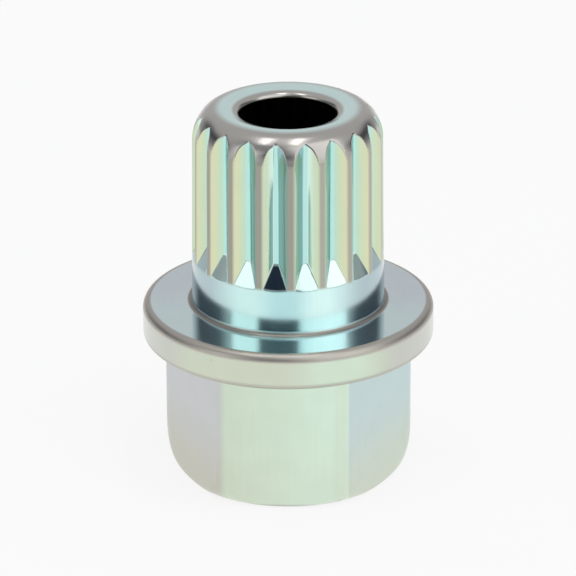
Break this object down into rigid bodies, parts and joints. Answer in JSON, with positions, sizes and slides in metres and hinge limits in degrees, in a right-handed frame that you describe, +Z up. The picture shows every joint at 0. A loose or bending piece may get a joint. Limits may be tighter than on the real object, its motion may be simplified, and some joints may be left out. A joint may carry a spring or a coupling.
{
  "type": "locking wheel nut key",
  "caption": "Key that turns locking wheel bolts: a grooved round nose, a neck and a flange above a hexagon that takes the wheel wrench, with a bore right through.",
  "frame": {"origin": "centre of the foot of the hexagon, on the plane that the key stands on", "axes": "+Z up along the bore to the grooved nose, one flat of the hexagon faces -Y"},
  "size_m": [0.0228, 0.0228, 0.0302],
  "materials": {
    "zinc_plated_steel": "smooth zinc plating with a clear iridescent passivate, pale green to pale blue"
  },
  "bodies": {
    "root": {"wheel_lock_key": "zinc_plated_steel"}
  },
  "joints": []
}
